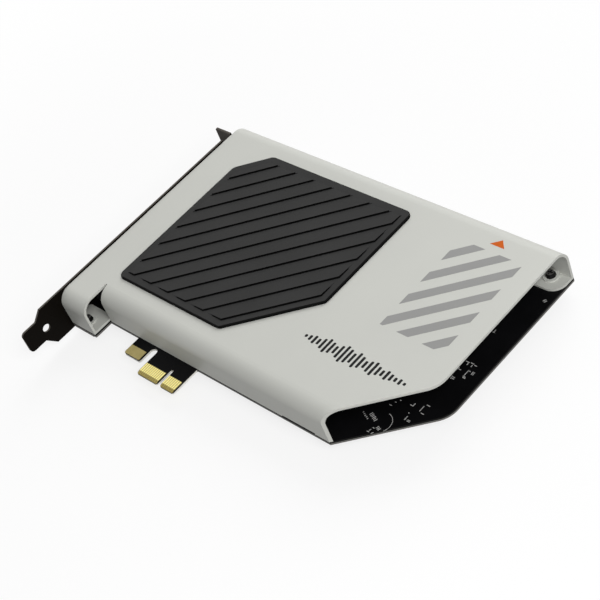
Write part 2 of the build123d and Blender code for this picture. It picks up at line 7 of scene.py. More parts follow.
import json
import logging
import math
from collections.abc import Callable
from dataclasses import dataclass
from enum import Enum

import bpy
from mathutils import Euler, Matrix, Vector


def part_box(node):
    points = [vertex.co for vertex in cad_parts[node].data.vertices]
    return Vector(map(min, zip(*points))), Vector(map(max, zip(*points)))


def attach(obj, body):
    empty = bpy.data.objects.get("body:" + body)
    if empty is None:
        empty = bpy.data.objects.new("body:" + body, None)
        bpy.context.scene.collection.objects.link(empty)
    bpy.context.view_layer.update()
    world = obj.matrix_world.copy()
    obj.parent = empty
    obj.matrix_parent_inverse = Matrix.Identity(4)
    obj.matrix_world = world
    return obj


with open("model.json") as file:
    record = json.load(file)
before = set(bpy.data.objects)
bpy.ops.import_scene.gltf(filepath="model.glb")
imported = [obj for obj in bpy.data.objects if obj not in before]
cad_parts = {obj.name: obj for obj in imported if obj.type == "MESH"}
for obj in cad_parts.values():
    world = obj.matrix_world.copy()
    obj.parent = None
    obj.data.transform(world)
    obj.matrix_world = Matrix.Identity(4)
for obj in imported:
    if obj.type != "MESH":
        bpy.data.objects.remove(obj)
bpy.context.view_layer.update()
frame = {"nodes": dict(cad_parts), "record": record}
BODY = "root"
MM = 0.001
BOARD_LOW, BOARD_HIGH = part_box("circuit_board")
# From this share of its length along Z on, a line counts as upright.
UPRIGHT = 0.9
# Points nearer to each other than this, in metres, are one point.
SAME_POINT = 1e-7
SMOOTH_ANGLE = math.radians(40)
ROUNDING_STEPS = 2
WHITE = (1.0, 1.0, 1.0, 1.0)
# Places of a colour mix's share and two colours among its inputs, and of its result.
MIX_INPUTS = (0, 6, 7)
MIX_RESULT = 2

Piece = bpy.types.Object
Pair = tuple[float, float]
Colour = tuple[float, float, float]
Point = tuple[float, float, float]
Box = tuple[Point, Point]
Socket = bpy.types.NodeSocket
Value = Socket | float | Colour
Element = bpy.types.MeshVertex | bpy.types.MeshEdge | bpy.types.MeshPolygon

log = logging.getLogger("sound_card")


def plan(x: float, y: float) -> Pair:
    """Give the point in plan at a distance from the board's corner.

    Args:
        x: millimetres from the board's edge at the bracket.
        y: millimetres from the tips of the edge contacts.

    Returns:
        The point in metres.
    """
    return BOARD_LOW[0] + x * MM, BOARD_LOW[1] + y * MM


def middle_of(box: Box) -> Point:
    """Give the middle of a box."""
    return tuple((low + high) / 2 for low, high in zip(*box))


def boxes_of(ending: str) -> list[Box]:
    """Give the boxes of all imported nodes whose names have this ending."""
    names = [row["node"] for row in frame["record"]["subparts"]]
    return [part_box(name) for name in names if name.endswith(ending)]


class Slot(Enum):
    """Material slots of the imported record."""

    BOARD = "board"
    CONTACT = "contact_gold"
    BRACKET = "bracket_black"
    COVER = "cover_paint"
    PANEL = "panel_plastic"
    SCREW = "screw_black"
    NUT = "nut_steel"
    SOCKET = "socket_plastic"
    SLEEVE = "sleeve_gold"
    LEAD = "lead_tin"
    RELAY = "relay_plastic"
    CAN = "can_aluminium"
    BASE = "base_plastic"
    COIL = "coil_ferrite"
    CLOCK = "clock_lid"
    CHIP_PART = "chip_part_ceramic"
    CHIP = "chip_mould"


class Axis(Enum):
    """Axes of the shared frame: along the card, across it and up."""

    X = "X"
    Y = "Y"
    Z = "Z"


class Shader:
    """One material, built up in nodes around a Principled shader on Object coordinates."""

    def __init__(self, name: str) -> None:
        """Start the material.

        Args:
            name: the material's name.
        """
        self.material = bpy.data.materials.new(name)
        self.material.use_nodes = True
        self.tree = self.material.node_tree
        self.surface = self.tree.nodes["Principled BSDF"]
        self.place = self.node("ShaderNodeTexCoord").outputs["Object"]

    def node(self, kind: str, **settings: str) -> bpy.types.Node:
        """Add a node.

        Args:
            kind: the node's type name.
            settings: properties to set on it.

        Returns:
            The new node.
        """
        made = self.tree.nodes.new(kind)
        for key, value in settings.items():
            setattr(made, key, value)
        return made

    def feed(self, socket: Socket, value: Value) -> None:
        """Link a socket to another one, or set its own value.

        Args:
            socket: the input to fill.
            value: an output to link, a number, or a colour of three numbers.
        """
        if isinstance(value, bpy.types.NodeSocket):
            self.tree.links.new(value, socket)
        elif isinstance(value, tuple) and socket.type == "RGBA":
            socket.default_value = (*value, 1.0)
        else:
            socket.default_value = value

    def set(self, name: str, value: Value) -> None:
        """Fill one input of the Principled shader."""
        self.feed(self.surface.inputs[name], value)

    def calc(self, operation: str, *values: Value) -> Socket:
        """Work out a number.

        Args:
            operation: the Math node's operation.
            values: its inputs, as sockets or numbers.

        Returns:
            The socket with the result.
        """
        made = self.node("ShaderNodeMath", operation=operation)
        for socket, value in zip(made.inputs, values):
            self.feed(socket, value)
        return made.outputs[0]

    def mix(self, share: Value, first: Value, second: Value) -> Socket:
        """Blend two colours.

        Args:
            share: how much of the second colour shows, 0 to 1.
            first: colour at a share of 0.
            second: colour at a share of 1.

        Returns:
            The socket with the blended colour.
        """
        made = self.node("ShaderNodeMix", data_type="RGBA")
        for place, value in zip(MIX_INPUTS, (share, first, second)):
            self.feed(made.inputs[place], value)
        return made.outputs[MIX_RESULT]

    def spread(
        self, value: Socket, low: float = 0.0, high: float = 1.0, start: float = 0.3, end: float = 0.7
    ) -> Socket:
        """Stretch part of a value's range to new limits.

        Args:
            value: the socket to stretch.
            low: result at start and below.
            high: result at end and above.
            start: input that gives low.
            end: input that gives high.

        Returns:
            The socket with the result.
        """
        made = self.node("ShaderNodeMapRange")
        for socket, part in zip(made.inputs, (value, start, end, low, high)):
            self.feed(socket, part)
        return made.outputs[0]

    def noise(self, size: float, detail: float = 2.0, stretch: Point = (1.0, 1.0, 1.0)) -> Socket:
        """Add an uneven pattern.

        Args:
            size: size of its features in metres.
            detail: finer levels on top of that size.
            stretch: how many times longer the features are along each axis.

        Returns:
            The socket with the pattern, around 0.5.
        """
        mapping = self.node("ShaderNodeMapping")
        self.feed(mapping.inputs["Vector"], self.place)
        mapping.inputs["Scale"].default_value = tuple(1.0 / (size * s) for s in stretch)
        made = self.node("ShaderNodeTexNoise")
        self.feed(made.inputs["Vector"], mapping.outputs[0])
        self.feed(made.inputs["Scale"], 1.0)
        self.feed(made.inputs["Detail"], detail)
        return made.outputs[0]

    def part(self, vector: Socket, axis: Axis) -> Socket:
        """Take one part of a vector.

        Args:
            vector: the vector.
            axis: the axis that the part lies along.

        Returns:
            The socket with the part.
        """
        made = self.node("ShaderNodeSeparateXYZ")
        self.feed(made.inputs[0], vector)
        return made.outputs[axis.value]

    def along(self, axis: Axis) -> Socket:
        """Give the Object coordinate along an axis, in metres."""
        return self.part(self.place, axis)

    def facing(self, axis: Axis) -> Socket:
        """Give the size of the surface normal's part along an axis."""
        normal = self.node("ShaderNodeNewGeometry").outputs["True Normal"]
        return self.calc("ABSOLUTE", self.part(normal, axis))

    def bump(self, height: Socket, depth: float) -> None:
        """Raise the surface by a pattern.

        Args:
            height: the pattern, 0 to 1.
            depth: its full height in metres.
        """
        made = self.node("ShaderNodeBump")
        self.feed(made.inputs["Strength"], 1.0)
        self.feed(made.inputs["Distance"], depth)
        self.feed(made.inputs["Height"], height)
        self.set("Normal", made.outputs[0])


@dataclass(frozen=True)
class Finish:
    """Plain finish: a colour that drifts in patches, with a fine grain in gloss and height."""

    name: str
    colour: Colour
    drift: Colour
    rough: Pair
    patch: float = 12 * MM
    grain: float = 0.3 * MM
    grain_depth: float = 0.004 * MM
    grain_detail: float = 3.0
    brush: Point = (1.0, 1.0, 1.0)
    metal: float = 0.0
    specular: float = 0.5

    def make(self) -> bpy.types.Material:
        """Build the material.

        Returns:
            The finished material.
        """
        shader = Shader(self.name)
        grain = shader.noise(self.grain, self.grain_detail, self.brush)
        shader.set("Base Color", self.paint(shader))
        shader.set("Roughness", shader.spread(grain, *self.rough))
        shader.set("Metallic", self.metal)
        shader.set("Specular IOR Level", self.specular)
        shader.bump(grain, self.grain_depth)
        return shader.material

    def paint(self, shader: Shader) -> Socket:
        """Colour the surface.

        Args:
            shader: the material in the making.

        Returns:
            The socket with the colour.
        """
        return shader.mix(shader.spread(shader.noise(self.patch)), self.colour, self.drift)

    def lay_on(self, piece: Piece) -> None:
        """Make this the only material of a piece, building it at its first use.

        Args:
            piece: the piece to dress.
        """
        material = bpy.data.materials.get(self.name) or self.make()
        piece.data.materials.clear()
        piece.data.materials.append(material)


@dataclass(frozen=True)
class SheetFinish(Finish):
    """Finish with another tone on the faces that stand up, such as sheared edges and side walls. On the
    contacts, the bracket plate and the panel this tone is painted shade.
    """

    wall: Colour = (0.01, 0.01, 0.01)
    wall_axis: Axis = Axis.Z
    wall_start: float = 0.75
    wall_end: float = 0.6

    def paint(self, shader: Shader) -> Socket:
        """Colour the surface, with its walls.

        Args:
            shader: the material in the making.

        Returns:
            The socket with the colour.
        """
        flat = super().paint(shader)
        share = shader.spread(shader.facing(self.wall_axis), start=self.wall_start, end=self.wall_end)
        return shader.mix(share, flat, self.wall)


@dataclass(frozen=True)
class PanelFinish(SheetFinish):
    """Moulded panel with painted shadow lines at its slats' steps and ends, and painted shade bands at its
    front, slanted cut and right side.
    """

    low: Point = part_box("ribbed_panel")[0]
    high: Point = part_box("ribbed_panel")[1]
    corner_cut: float = 28.35 * MM
    border: float = 3.4 * MM
    slat_pitch: float = 7.0 * MM
    # Width of the painted shadow lines, their run at the slats' ends, and the width of the painted shade
    # bands.
    shadow_line_width: float = 0.4 * MM
    end_shadow_run: float = 3.3 * MM
    shade_band_width: float = 0.6 * MM

    def paint(self, shader: Shader) -> Socket:
        """Colour the moulding, its painted shadow lines and its painted shade bands.

        Args:
            shader: the material in the making.

        Returns:
            The socket with the colour.
        """
        calc = shader.calc
        along = shader.along
        half = self.shadow_line_width / 2
        corner = self.low[1] - self.high[0] + self.corner_cut
        slant = calc("SUBTRACT", calc("SUBTRACT", along(Axis.Y), along(Axis.X)), corner)
        inward = calc("SUBTRACT", calc("DIVIDE", slant, math.sqrt(2)), self.border)
        past = calc("FLOORED_MODULO", inward, self.slat_pitch)
        # Painted shadow: a black stripe on the flat at the foot of each slat's step.
        foot = calc("GREATER_THAN", past, self.slat_pitch - self.shadow_line_width)
        # Painted shadow at the slats' ends, along the front and the right side.
        front = calc("COMPARE", along(Axis.Y), self.low[1] + self.border - half, half)
        right = calc("COMPARE", along(Axis.X), self.high[0] - self.border + half, half)
        near = calc("LESS_THAN", past, self.end_shadow_run)
        ends = calc("MULTIPLY", near, calc("MAXIMUM", front, right))
        line = calc("MAXIMUM", foot, ends)
        for axis, low, high in zip(Axis, self.low[:2], self.high[:2]):
            reach = (high - low) / 2 - self.border + self.shadow_line_width
            inside = calc("COMPARE", along(axis), (low + high) / 2, reach)
            line = calc("MULTIPLY", line, inside)
        # Painted shade: black bands along the front, the slanted cut and the right side stand in for
        # shaded side walls.
        rim = calc("LESS_THAN", along(Axis.Y), self.low[1] + self.shade_band_width)
        cut_shade_band = calc("LESS_THAN", inward, self.shade_band_width - self.border)
        side_shade_band = calc("GREATER_THAN", along(Axis.X), self.high[0] - self.shade_band_width)
        for shade_band in (rim, cut_shade_band, side_shade_band):
            line = calc("MAXIMUM", line, shade_band)
        return shader.mix(line, super().paint(shader), self.wall)


@dataclass(frozen=True)
class BoardFinish(Finish):
    """Solder mask over glass laminate, which is bare along the edge contacts and on cut edges.

    The cut edges are black above and grey below, and the lower layer is pale on the tongue.
    """

    laminate: Colour = (0.42, 0.36, 0.15)
    bevel: Colour = (0.20, 0.165, 0.06)
    cut_edge: Colour = (0.002, 0.002, 0.002)
    cut_fibre: Colour = (0.006, 0.006, 0.005)
    lower_edge: Colour = (0.17, 0.165, 0.155)
    tongue_edge: Colour = (0.92, 0.90, 0.84)
    bare_end: float = plan(0.0, 5.53)[1]
    tongue_end: float = plan(0.0, 12.8)[1]
    tongue_left: float = plan(15.7, 0.0)[0]
    pale_top: float = (BOARD_LOW[2] + BOARD_HIGH[2]) / 2
    bevel_limit: float = 0.97
    rim_limit: float = 0.5
    weave: float = 0.5 * MM
    weave_detail: float = 1.0
    weave_stretch: Point = (6.0, 1.0, 1.0)

    def paint(self, shader: Shader) -> Socket:
        """Colour the mask, the bare laminate of the tongue and the cut edges.

        Args:
            shader: the material in the making.

        Returns:
            The socket with the colour.
        """
        calc = shader.calc
        along = shader.along
        mix = shader.mix
        beside = calc("GREATER_THAN", along(Axis.X), self.tongue_left)
        tongue = calc("MULTIPLY", beside, calc("LESS_THAN", along(Axis.Y), self.tongue_end))
        bare = calc("MULTIPLY", beside, calc("LESS_THAN", along(Axis.Y), self.bare_end))
        level = shader.facing(Axis.Z)
        threads = shader.spread(shader.noise(self.weave, self.weave_detail, self.weave_stretch))
        sloped = mix(calc("LESS_THAN", level, self.bevel_limit), self.laminate, self.bevel)
        face = mix(bare, super().paint(shader), sloped)
        lower = calc("LESS_THAN", along(Axis.Z), self.pale_top)
        layer = mix(tongue, self.lower_edge, self.tongue_edge)
        rim = mix(lower, mix(threads, self.cut_edge, self.cut_fibre), layer)
        return mix(calc("LESS_THAN", level, self.rim_limit), face, rim)


@dataclass(frozen=True)
class ChipPartFinish(Finish):
    """Small ceramic parts in a grid, with tinned ends and two body colours in turn."""

    ends: Colour = (0.62, 0.61, 0.58)
    other: Colour = (0.03, 0.03, 0.032)
    pitch: float = 2.4 * MM
    end_start: float = 0.54 * MM
    turn_start: float = 0.5
    middle: Point = (0.0, 0.0, 0.0)

    def paint(self, shader: Shader) -> Socket:
        """Colour the bodies and the tinned ends.

        Args:
            shader: the material in the making.

        Returns:
            The socket with the colour.
        """
        calc = shader.calc
        along = shader.along
        forward = calc("SUBTRACT", along(Axis.Y), self.middle[1])
        row = calc("PINGPONG", calc("ADD", forward, self.pitch / 2), self.pitch)
        folded = calc("PINGPONG", calc("SUBTRACT", row, self.pitch / 2), self.pitch / 2)
        sideways = calc("SUBTRACT", along(Axis.X), self.middle[0])
        column = calc("PINGPONG", calc("DIVIDE", sideways, 2 * self.pitch), 1.0)
        turn = calc("GREATER_THAN", column, self.turn_start)
        body = shader.mix(turn, super().paint(shader), self.other)
        return shader.mix(calc("GREATER_THAN", folded, self.end_start), body, self.ends)


FINISHES: dict[Slot, Finish] = {
    Slot.BOARD: BoardFinish(
        "black_solder_mask", (0.003, 0.003, 0.0034), (0.005, 0.005, 0.0056), (0.42, 0.55), specular=0.05
    ),
    # Painted shade: the contacts' sloped and side faces are a darker gold than their flat faces.
    Slot.CONTACT: SheetFinish(
        "gold_plate", (1.0, 0.89, 0.355), (0.96, 0.84, 0.31), (0.22, 0.36),
        patch=3 * MM, grain=0.12 * MM, grain_depth=0.001 * MM, brush=(1.0, 8.0, 1.0), metal=1.0,
        wall=(0.37, 0.30, 0.10), wall_start=0.985, wall_end=0.965,
    ),
    # Painted shade: the plate's faces that point along the card are near black, while its edges and flange
    # keep the lighter tone.
    Slot.BRACKET: SheetFinish(
        "black_bracket_plate", (0.112, 0.101, 0.088), (0.092, 0.083, 0.071), (0.46, 0.6),
        grain=0.25 * MM, grain_depth=0.003 * MM, brush=(1.0, 6.0, 1.0), specular=0.04,
        wall=(0.003, 0.0022, 0.0014), wall_axis=Axis.X, wall_start=0.4, wall_end=0.6,
    ),
    Slot.COVER: Finish(
        "pale_cover_paint", (0.600, 0.606, 0.565), (0.585, 0.590, 0.552), (0.44, 0.56),
        patch=30 * MM, grain=0.45 * MM, specular=0.35,
    ),
    # Painted shade: the panel's side walls and slat steps are near black, darker than its top, and the
    # same black paints its shadow lines.
    Slot.PANEL: PanelFinish(
        "matt_panel_moulding", (0.037, 0.037, 0.0365), (0.042, 0.042, 0.0415), (0.62, 0.76),
        patch=18 * MM, grain=0.22 * MM, grain_depth=0.012 * MM, specular=0.06,
        wall=(0.001, 0.001, 0.001), wall_start=0.9, wall_end=0.8,
    ),
    Slot.SCREW: SheetFinish(
        "black_oxide_screw", (0.115, 0.113, 0.108), (0.050, 0.049, 0.047), (0.34, 0.5),
        patch=1 * MM, grain=0.15 * MM, specular=0.1, wall=(0.004, 0.004, 0.004),
    ),
    Slot.NUT: Finish(
        "zinc_nut", (0.62, 0.62, 0.60), (0.52, 0.53, 0.53), (0.25, 0.42),
        patch=2 * MM, grain=0.2 * MM, grain_depth=0.002 * MM, metal=1.0,
    ),
    Slot.SOCKET: Finish(
        "black_socket_moulding", (0.012, 0.012, 0.013), (0.017, 0.017, 0.018), (0.36, 0.5), grain=0.2 * MM
    ),
    Slot.SLEEVE: Finish(
        "gold_sleeve", (0.88, 0.68, 0.25), (0.80, 0.58, 0.18), (0.16, 0.30),
        patch=3 * MM, grain=0.1 * MM, grain_depth=0.0008 * MM, metal=1.0,
    ),
    Slot.LEAD: Finish(
        "tinned_lead", (0.66, 0.65, 0.62), (0.52, 0.52, 0.50), (0.28, 0.45),
        patch=0.8 * MM, grain=0.1 * MM, grain_depth=0.002 * MM, metal=1.0,
    ),
    Slot.RELAY: Finish(
        "ivory_relay_case", (0.66, 0.63, 0.54), (0.60, 0.57, 0.48), (0.38, 0.5),
        patch=5 * MM, grain=0.2 * MM,
    ),
    Slot.CAN: Finish(
        "bright_can", (0.74, 0.74, 0.75), (0.66, 0.66, 0.67), (0.20, 0.34),
        patch=4 * MM, grain=0.15 * MM, grain_depth=0.001 * MM, brush=(1.0, 1.0, 6.0), metal=1.0,
    ),
    Slot.BASE: Finish(
        "black_base_moulding", (0.012, 0.012, 0.012), (0.018, 0.018, 0.018), (0.45, 0.6), grain=0.2 * MM
    ),
    Slot.COIL: Finish(
        "ferrite_block", (0.055, 0.055, 0.058), (0.085, 0.085, 0.088), (0.5, 0.7),
        patch=1.2 * MM, grain=0.12 * MM, grain_depth=0.01 * MM,
    ),
    Slot.CLOCK: SheetFinish(
        "clock_lid_metal", (0.64, 0.61, 0.52), (0.56, 0.54, 0.46), (0.26, 0.4),
        patch=2 * MM, grain=0.12 * MM, grain_depth=0.001 * MM, metal=0.9, wall=(0.20, 0.19, 0.16),
    ),
    Slot.CHIP_PART: ChipPartFinish(
        "ceramic_chip_part", (0.34, 0.22, 0.12), (0.28, 0.18, 0.10), (0.4, 0.55),
        patch=1 * MM, grain=0.1 * MM, middle=middle_of(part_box("chip_parts")),
    ),
    Slot.CHIP: Finish(
        "moulded_chip_epoxy", (0.014, 0.014, 0.015), (0.020, 0.020, 0.021), (0.5, 0.66),
        patch=3 * MM, grain=0.14 * MM, grain_depth=0.006 * MM, specular=0.4,
    ),
}
PLATING = Finish(
    "dull_guide_plating", (0.53, 0.44, 0.18), (0.45, 0.37, 0.14), (0.45, 0.6),
    patch=2.5 * MM, grain=0.15 * MM, grain_depth=0.001 * MM, metal=0.35,
)
GREY_INK = Finish(
    "grey_bar_ink", (0.300, 0.300, 0.293), (0.288, 0.288, 0.281), (0.42, 0.55),
    patch=20 * MM, specular=0.3,
)
ORANGE_INK = Finish(
    "orange_ink", (0.62, 0.116, 0.007), (0.57, 0.103, 0.006), (0.42, 0.55), patch=2 * MM, specular=0.12
)
BLACK_INK = Finish("black_ink", (0.005, 0.005, 0.005), (0.008, 0.008, 0.008), (0.45, 0.6), specular=0.15)
WHITE_INK = Finish("white_board_ink", (0.62, 0.62, 0.60), (0.48, 0.48, 0.47), (0.5, 0.65), patch=1 * MM)
TRACK_MASK = Finish(
    "mask_over_track", (0.011, 0.011, 0.0115), (0.015, 0.0145, 0.014), (0.34, 0.46), specular=0.35
)
NODE_FINISHES: dict[str, Finish] = {"guide_tab_plating": PLATING}


class Part(Enum):
    """Parts of a mesh that can be selected, with the lists that hold them."""

    VERT = "vertices"
    EDGE = "edges"
    FACE = "polygons"


def faces_down(face: bpy.types.MeshPolygon) -> bool:
    """Say whether a face points straight down."""
    return face.normal.z < -UPRIGHT


class Bench:
    """Modelling steps, each done on one piece after another."""

    # Corners of a new plane that stand at its lower edge.
    near_edge: tuple[int, int] = (0, 1)

    @staticmethod
    def clear() -> None:
        """Close edit mode and leave nothing selected."""
        active = bpy.context.view_layer.objects.active
        if active is not None and active.mode != "OBJECT":
            bpy.ops.object.mode_set(mode="OBJECT")
        bpy.ops.object.select_all(action="DESELECT")

    @classmethod
    def pick(cls, *pieces: Piece) -> None:
        """Select some pieces only, with the first one active.

        Args:
            pieces: the pieces to select.
        """
        cls.clear()
        for piece in pieces:
            piece.select_set(True)
        bpy.context.view_layer.objects.active = pieces[0]

    @classmethod
    def open(cls, piece: Piece) -> None:
        """Open a piece in edit mode with all of it selected.

        Args:
            piece: the piece to open.
        """
        cls.pick(piece)
        bpy.ops.object.mode_set(mode="EDIT")
        bpy.ops.mesh.select_all(action="SELECT")

    @classmethod
    def choose(cls, piece: Piece, part: Part, wanted: Callable[[Element], bool]) -> None:
        """Open a piece with only some of its corners, edges or faces selected.

        Args:
            piece: the piece to open.
            part: what is selected.
            wanted: says of each one whether it is selected.
        """
        cls.open(piece)
        bpy.ops.mesh.select_mode(type=part.name)
        bpy.ops.mesh.select_all(action="DESELECT")
        bpy.ops.object.mode_set(mode="OBJECT")
        for element in getattr(piece.data, part.value):
            element.select = wanted(element)
        bpy.ops.object.mode_set(mode="EDIT")

    @staticmethod
    def place(name: str, size: Point = (1.0, 1.0, 1.0)) -> Piece:
        """Name and size the primitive just added and put its place into its mesh.

        Args:
            name: the piece's name.
            size: how much larger it is made along its own axes.

        Returns:
            The piece.
        """
        piece = bpy.context.object
        piece.scale = size
        piece.name = name
        piece.data.name = name
        bpy.ops.object.transform_apply(location=True, rotation=True, scale=True)
        return piece

    @classmethod
    def slab(cls, name: str, low: Point, high: Point, turn: float = 0.0) -> Piece:
        """Add a block between two corners.

        Args:
            name: the piece's name.
            low: its lowest corner.
            high: its highest corner.
            turn: angle in degrees that it is turned about its own middle.

        Returns:
            The block.
        """
        cls.clear()
        middle = middle_of((low, high))
        bpy.ops.mesh.primitive_cube_add(size=1.0, location=middle, rotation=(0.0, 0.0, math.radians(turn)))
        return cls.place(name, tuple(b - a for a, b in zip(low, high)))

    @classmethod
    def disc(cls, name: str, middle: Point, radius: float, depth: float, sides: int) -> Piece:
        """Add a level disc.

        Args:
            name: the piece's name.
            middle: its middle.
            radius: its radius.
            depth: its thickness.
            sides: how many sides it has.

        Returns:
            The disc.
        """
        cls.clear()
        bpy.ops.mesh.primitive_cylinder_add(vertices=sides, radius=radius, depth=depth, location=middle)
        return cls.place(name)

    @classmethod
    def cut(cls, piece: Piece, point: Point, outward: Point) -> None:
        """Cut a piece by a plane, drop what lies beyond it and close the cut.

        Args:
            piece: the piece to cut.
            point: a point of the plane.
            outward: the way the dropped side lies.
        """
        cls.open(piece)
        bpy.ops.mesh.bisect(
            plane_co=point, plane_no=outward, use_fill=True, clear_outer=True, threshold=SAME_POINT
        )
        cls.clear()

    @classmethod
    def round_corners(cls, piece: Piece, radius: float) -> None:
        """Round a flat piece's upright edges.

        Args:
            piece: the piece to round.
            radius: size of the rounding.
        """

        def stands(edge: bpy.types.MeshEdge) -> bool:
            """Say whether an edge stands upright."""
            first, second = (piece.data.vertices[i].co for i in edge.vertices)
            return abs(first.z - second.z) > UPRIGHT * (first - second).length

        cls.choose(piece, Part.EDGE, stands)
        bpy.ops.mesh.bevel(offset=radius, segments=ROUNDING_STEPS, clamp_overlap=True)
        cls.clear()

    @classmethod
    def extrude(cls, steps: list[Pair], middle: Point) -> None:
        """Draw the selected face of the open piece out along Z in steps, then close the piece.

        Args:
            steps: for each step, how far it goes along Z and how much it narrows.
            middle: the point that it narrows towards.
        """
        for rise, narrow in steps:
            bpy.ops.mesh.extrude_region_move(TRANSFORM_OT_translate={"value": (0.0, 0.0, rise)})
            bpy.ops.transform.resize(value=(narrow, narrow, 1.0), center_override=middle)
        cls.clear()

    @classmethod
    def ribbon(cls, name: str, start: Point, lean: float, width: float, runs: list[Point]) -> Piece:
        """Draw one edge along straight runs into a flat ribbon.

        Args:
            name: the piece's name.
            start: middle of the first edge.
            lean: angle of that edge in degrees.
            width: its length.
            runs: the runs that it is drawn along.

        Returns:
            The ribbon, still without thickness.
        """
        cls.clear()
        turn = math.radians(lean)
        half = width / 2
        middle = (start[0] - half * math.sin(turn), start[1] + half * math.cos(turn), start[2])
        bpy.ops.mesh.primitive_plane_add(size=width, location=middle, rotation=(0.0, 0.0, turn))
        piece = cls.place(name)
        cls.choose(piece, Part.VERT, lambda corner: corner.index not in cls.near_edge)
        bpy.ops.mesh.delete(type="VERT")
        bpy.ops.mesh.select_all(action="SELECT")
        for run in runs:
            bpy.ops.mesh.extrude_region_move(TRANSFORM_OT_translate={"value": run})
        cls.clear()
        return piece

    @classmethod
    def thicken(cls, piece: Piece, depth: float) -> None:
        """Give a flat piece its thickness, half of it on each side.

        Args:
            piece: the flat piece.
            depth: its thickness.
        """
        cls.pick(piece)
        bpy.ops.object.modifier_add(type="SOLIDIFY")
        solidify = piece.modifiers[-1]
        solidify.thickness = depth
        solidify.offset = 0.0
        bpy.ops.object.modifier_apply(modifier=solidify.name)
        cls.face_out(piece)

    @classmethod
    def face_out(cls, piece: Piece) -> None:
        """Turn all faces of a closed piece outwards.

        Args:
            piece: the piece to turn.
        """
        cls.open(piece)
        bpy.ops.mesh.normals_make_consistent(inside=False)
        cls.clear()

    @classmethod
    def repeat(cls, name: str, piece: Piece, places: list[Pair]) -> Piece:
        """Copy a piece from the first of several places to the others, and join them all.

        Args:
            name: the joined piece's name.
            piece: the piece, which stands at the first place.
            places: the places in plan.

        Returns:
            The joined piece.
        """
        first_x, first_y = places[0]
        made = [piece]
        for x, y in places[1:]:
            cls.pick(piece)
            bpy.ops.object.duplicate()
            bpy.ops.transform.translate(value=(x - first_x, y - first_y, 0.0))
            bpy.ops.object.transform_apply(location=True, rotation=True, scale=True)
            made.append(bpy.context.object)
        return cls.join(name, made)

    @classmethod
    def join(cls, name: str, pieces: list[Piece]) -> Piece:
        """Join pieces into one.

        Args:
            name: the joined piece's name.
            pieces: the pieces to join.

        Returns:
            The joined piece.
        """
        cls.pick(*pieces)
        bpy.ops.object.join()
        joined = bpy.context.object
        joined.name = name
        joined.data.name = name
        return joined

    @classmethod
    def settle(cls, piece: Piece, finish: Finish, slot: Slot, smooth: bool = False) -> None:
        """Finish a piece: its material and the body that it rides on.

        Args:
            piece: the piece.
            finish: its finish.
            slot: not used.
            smooth: whether its rounded faces are shaded as one.
        """
        cls.pick(piece)
        if smooth:
            bpy.ops.object.shade_smooth_by_angle(angle=SMOOTH_ANGLE)
        cls.clear()
        finish.lay_on(piece)
        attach(piece, BODY)
        log.info("%s: %d faces, %s", piece.name, len(piece.data.polygons), finish.name)


@dataclass
class PackedCard:
    """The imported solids, which only get their finishes."""

    def dress(self) -> None:
        """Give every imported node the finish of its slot."""
        for row in frame["record"]["subparts"]:
            node = row["node"]
            finish = NODE_FINISHES.get(node) or FINISHES[Slot(row["material_slot"])]
            finish.lay_on(frame["nodes"][node])
            log.info("%s: %s", node, finish.name)


